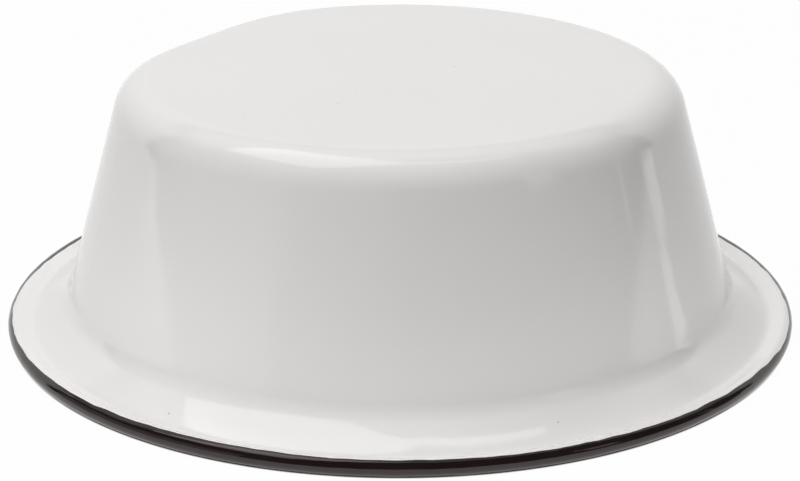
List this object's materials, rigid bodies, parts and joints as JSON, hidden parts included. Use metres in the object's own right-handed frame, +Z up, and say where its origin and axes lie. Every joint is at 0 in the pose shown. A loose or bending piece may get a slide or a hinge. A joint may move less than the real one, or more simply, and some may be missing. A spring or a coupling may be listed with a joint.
{
  "type": "enamelled bowl",
  "caption": "Round bowl with a flat base, straight sloping wall, flared brim and black rolled rim, in white enamelled steel, for food or washing; stored upside down on its rim.",
  "frame": {"origin": "centre of the circle that the rim rests on, with the bowl upside down as in the picture", "axes": "+Z up along the bowl's axis, from the rim to the base; +X and +Y lie across the rim, and the bowl is alike all round"},
  "size_m": [0.3, 0.3, 0.097],
  "materials": {
    "steel": "bare pressed sheet, hidden under the enamel",
    "white_enamel": "glossy vitreous enamel, white, faintly wavy, with a few pinholes",
    "black_enamel": "glossy vitreous enamel, black-brown, edge applied by hand"
  },
  "bodies": {
    "root": {"steel_shell": "steel", "outside_enamel": "white_enamel", "inside_enamel": "white_enamel", "rim_enamel": "black_enamel"}
  },
  "joints": []
}
